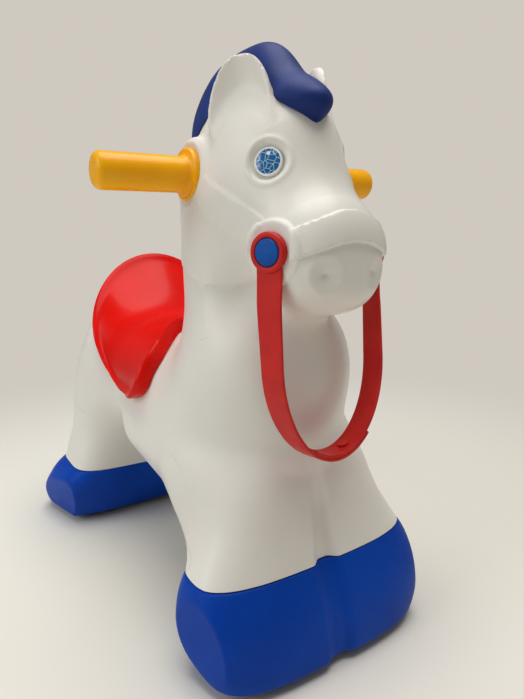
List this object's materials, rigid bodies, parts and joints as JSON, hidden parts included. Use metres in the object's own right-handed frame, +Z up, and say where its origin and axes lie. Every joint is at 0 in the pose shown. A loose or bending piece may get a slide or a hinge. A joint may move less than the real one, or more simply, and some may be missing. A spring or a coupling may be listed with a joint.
{
  "type": "ride-on horse on castors",
  "caption": "Toddler's ride-on horse: hollow moulded body with saddle, mane, handle bar and rein loop, rolling on swivel castors hidden under its open bases.",
  "frame": {"origin": "on the floor under the middle of the bounding box", "axes": "+Z up, the horse looks along -Y, +X is the horse's left"},
  "size_m": [0.284, 0.4846, 0.5028],
  "materials": {
    "white_shell": "satin moulded skin",
    "white_button": "glossy",
    "red_saddle": "glossy",
    "red_rein": "satin",
    "navy_mane": "fine matte",
    "blue_base": "satin",
    "blue_pin": "satin",
    "blue_iris": "glossy",
    "yellow_grip": "glossy",
    "castor_plastic": "matte",
    "wheel_rubber": "matte",
    "steel": "zinc plated"
  },
  "bodies": {
    "horse": {"body_shell": "white_shell", "saddle": "red_saddle", "saddle_screws": "steel", "mane": "navy_mane", "handle_rod": "steel", "front_base": "blue_base", "rear_base": "blue_base", "front_base_screws": "steel", "rear_base_screws": "steel", "grip_left": "yellow_grip", "eye_button_left": "white_button", "eye_iris_left": "blue_iris", "rein_eyelet_left": "red_rein", "rein_pin_left": "blue_pin", "grip_right": "yellow_grip", "eye_button_right": "white_button", "eye_iris_right": "blue_iris", "rein_eyelet_right": "red_rein", "rein_pin_right": "blue_pin"},
    "rein": {"rein_strap_left": "red_rein", "rein_strap_right": "red_rein", "rein_stud": "red_rein"},
    "front_left_castor": {"front_left_castor_fork": "castor_plastic", "front_left_castor_stem": "steel", "front_left_castor_axle": "steel"},
    "front_left_roller": {"front_left_wheel": "wheel_rubber"},
    "front_right_castor": {"front_right_castor_fork": "castor_plastic", "front_right_castor_stem": "steel", "front_right_castor_axle": "steel"},
    "front_right_roller": {"front_right_wheel": "wheel_rubber"},
    "rear_left_castor": {"rear_left_castor_fork": "castor_plastic", "rear_left_castor_stem": "steel", "rear_left_castor_axle": "steel"},
    "rear_left_roller": {"rear_left_wheel": "wheel_rubber"},
    "rear_right_castor": {"rear_right_castor_fork": "castor_plastic", "rear_right_castor_stem": "steel", "rear_right_castor_axle": "steel"},
    "rear_right_roller": {"rear_right_wheel": "wheel_rubber"}
  },
  "joints": [
    {"name": "rein_swing", "type": "hinge", "parent": "horse", "child": "rein", "pos_m": [0, -0.20395, 0.3026], "axis": [-1, 0, 0], "range_deg": [0, 85]},
    {"name": "front_left_swivel", "type": "hinge", "parent": "horse", "child": "front_left_castor", "pos_m": [0.066, -0.184, 0.05], "axis": [0, 0, 1], "continuous": true},
    {"name": "front_left_roll", "type": "hinge", "parent": "front_left_castor", "child": "front_left_roller", "pos_m": [0.066, -0.171, 0.02], "axis": [1, 0, 0], "continuous": true},
    {"name": "front_right_swivel", "type": "hinge", "parent": "horse", "child": "front_right_castor", "pos_m": [-0.066, -0.184, 0.05], "axis": [0, 0, 1], "continuous": true},
    {"name": "front_right_roll", "type": "hinge", "parent": "front_right_castor", "child": "front_right_roller", "pos_m": [-0.066, -0.171, 0.02], "axis": [1, 0, 0], "continuous": true},
    {"name": "rear_left_swivel", "type": "hinge", "parent": "horse", "child": "rear_left_castor", "pos_m": [0.08, 0.182, 0.05], "axis": [0, 0, 1], "continuous": true},
    {"name": "rear_left_roll", "type": "hinge", "parent": "rear_left_castor", "child": "rear_left_roller", "pos_m": [0.08, 0.195, 0.02], "axis": [1, 0, 0], "continuous": true},
    {"name": "rear_right_swivel", "type": "hinge", "parent": "horse", "child": "rear_right_castor", "pos_m": [-0.08, 0.182, 0.05], "axis": [0, 0, 1], "continuous": true},
    {"name": "rear_right_roll", "type": "hinge", "parent": "rear_right_castor", "child": "rear_right_roller", "pos_m": [-0.08, 0.195, 0.02], "axis": [1, 0, 0], "continuous": true}
  ]
}
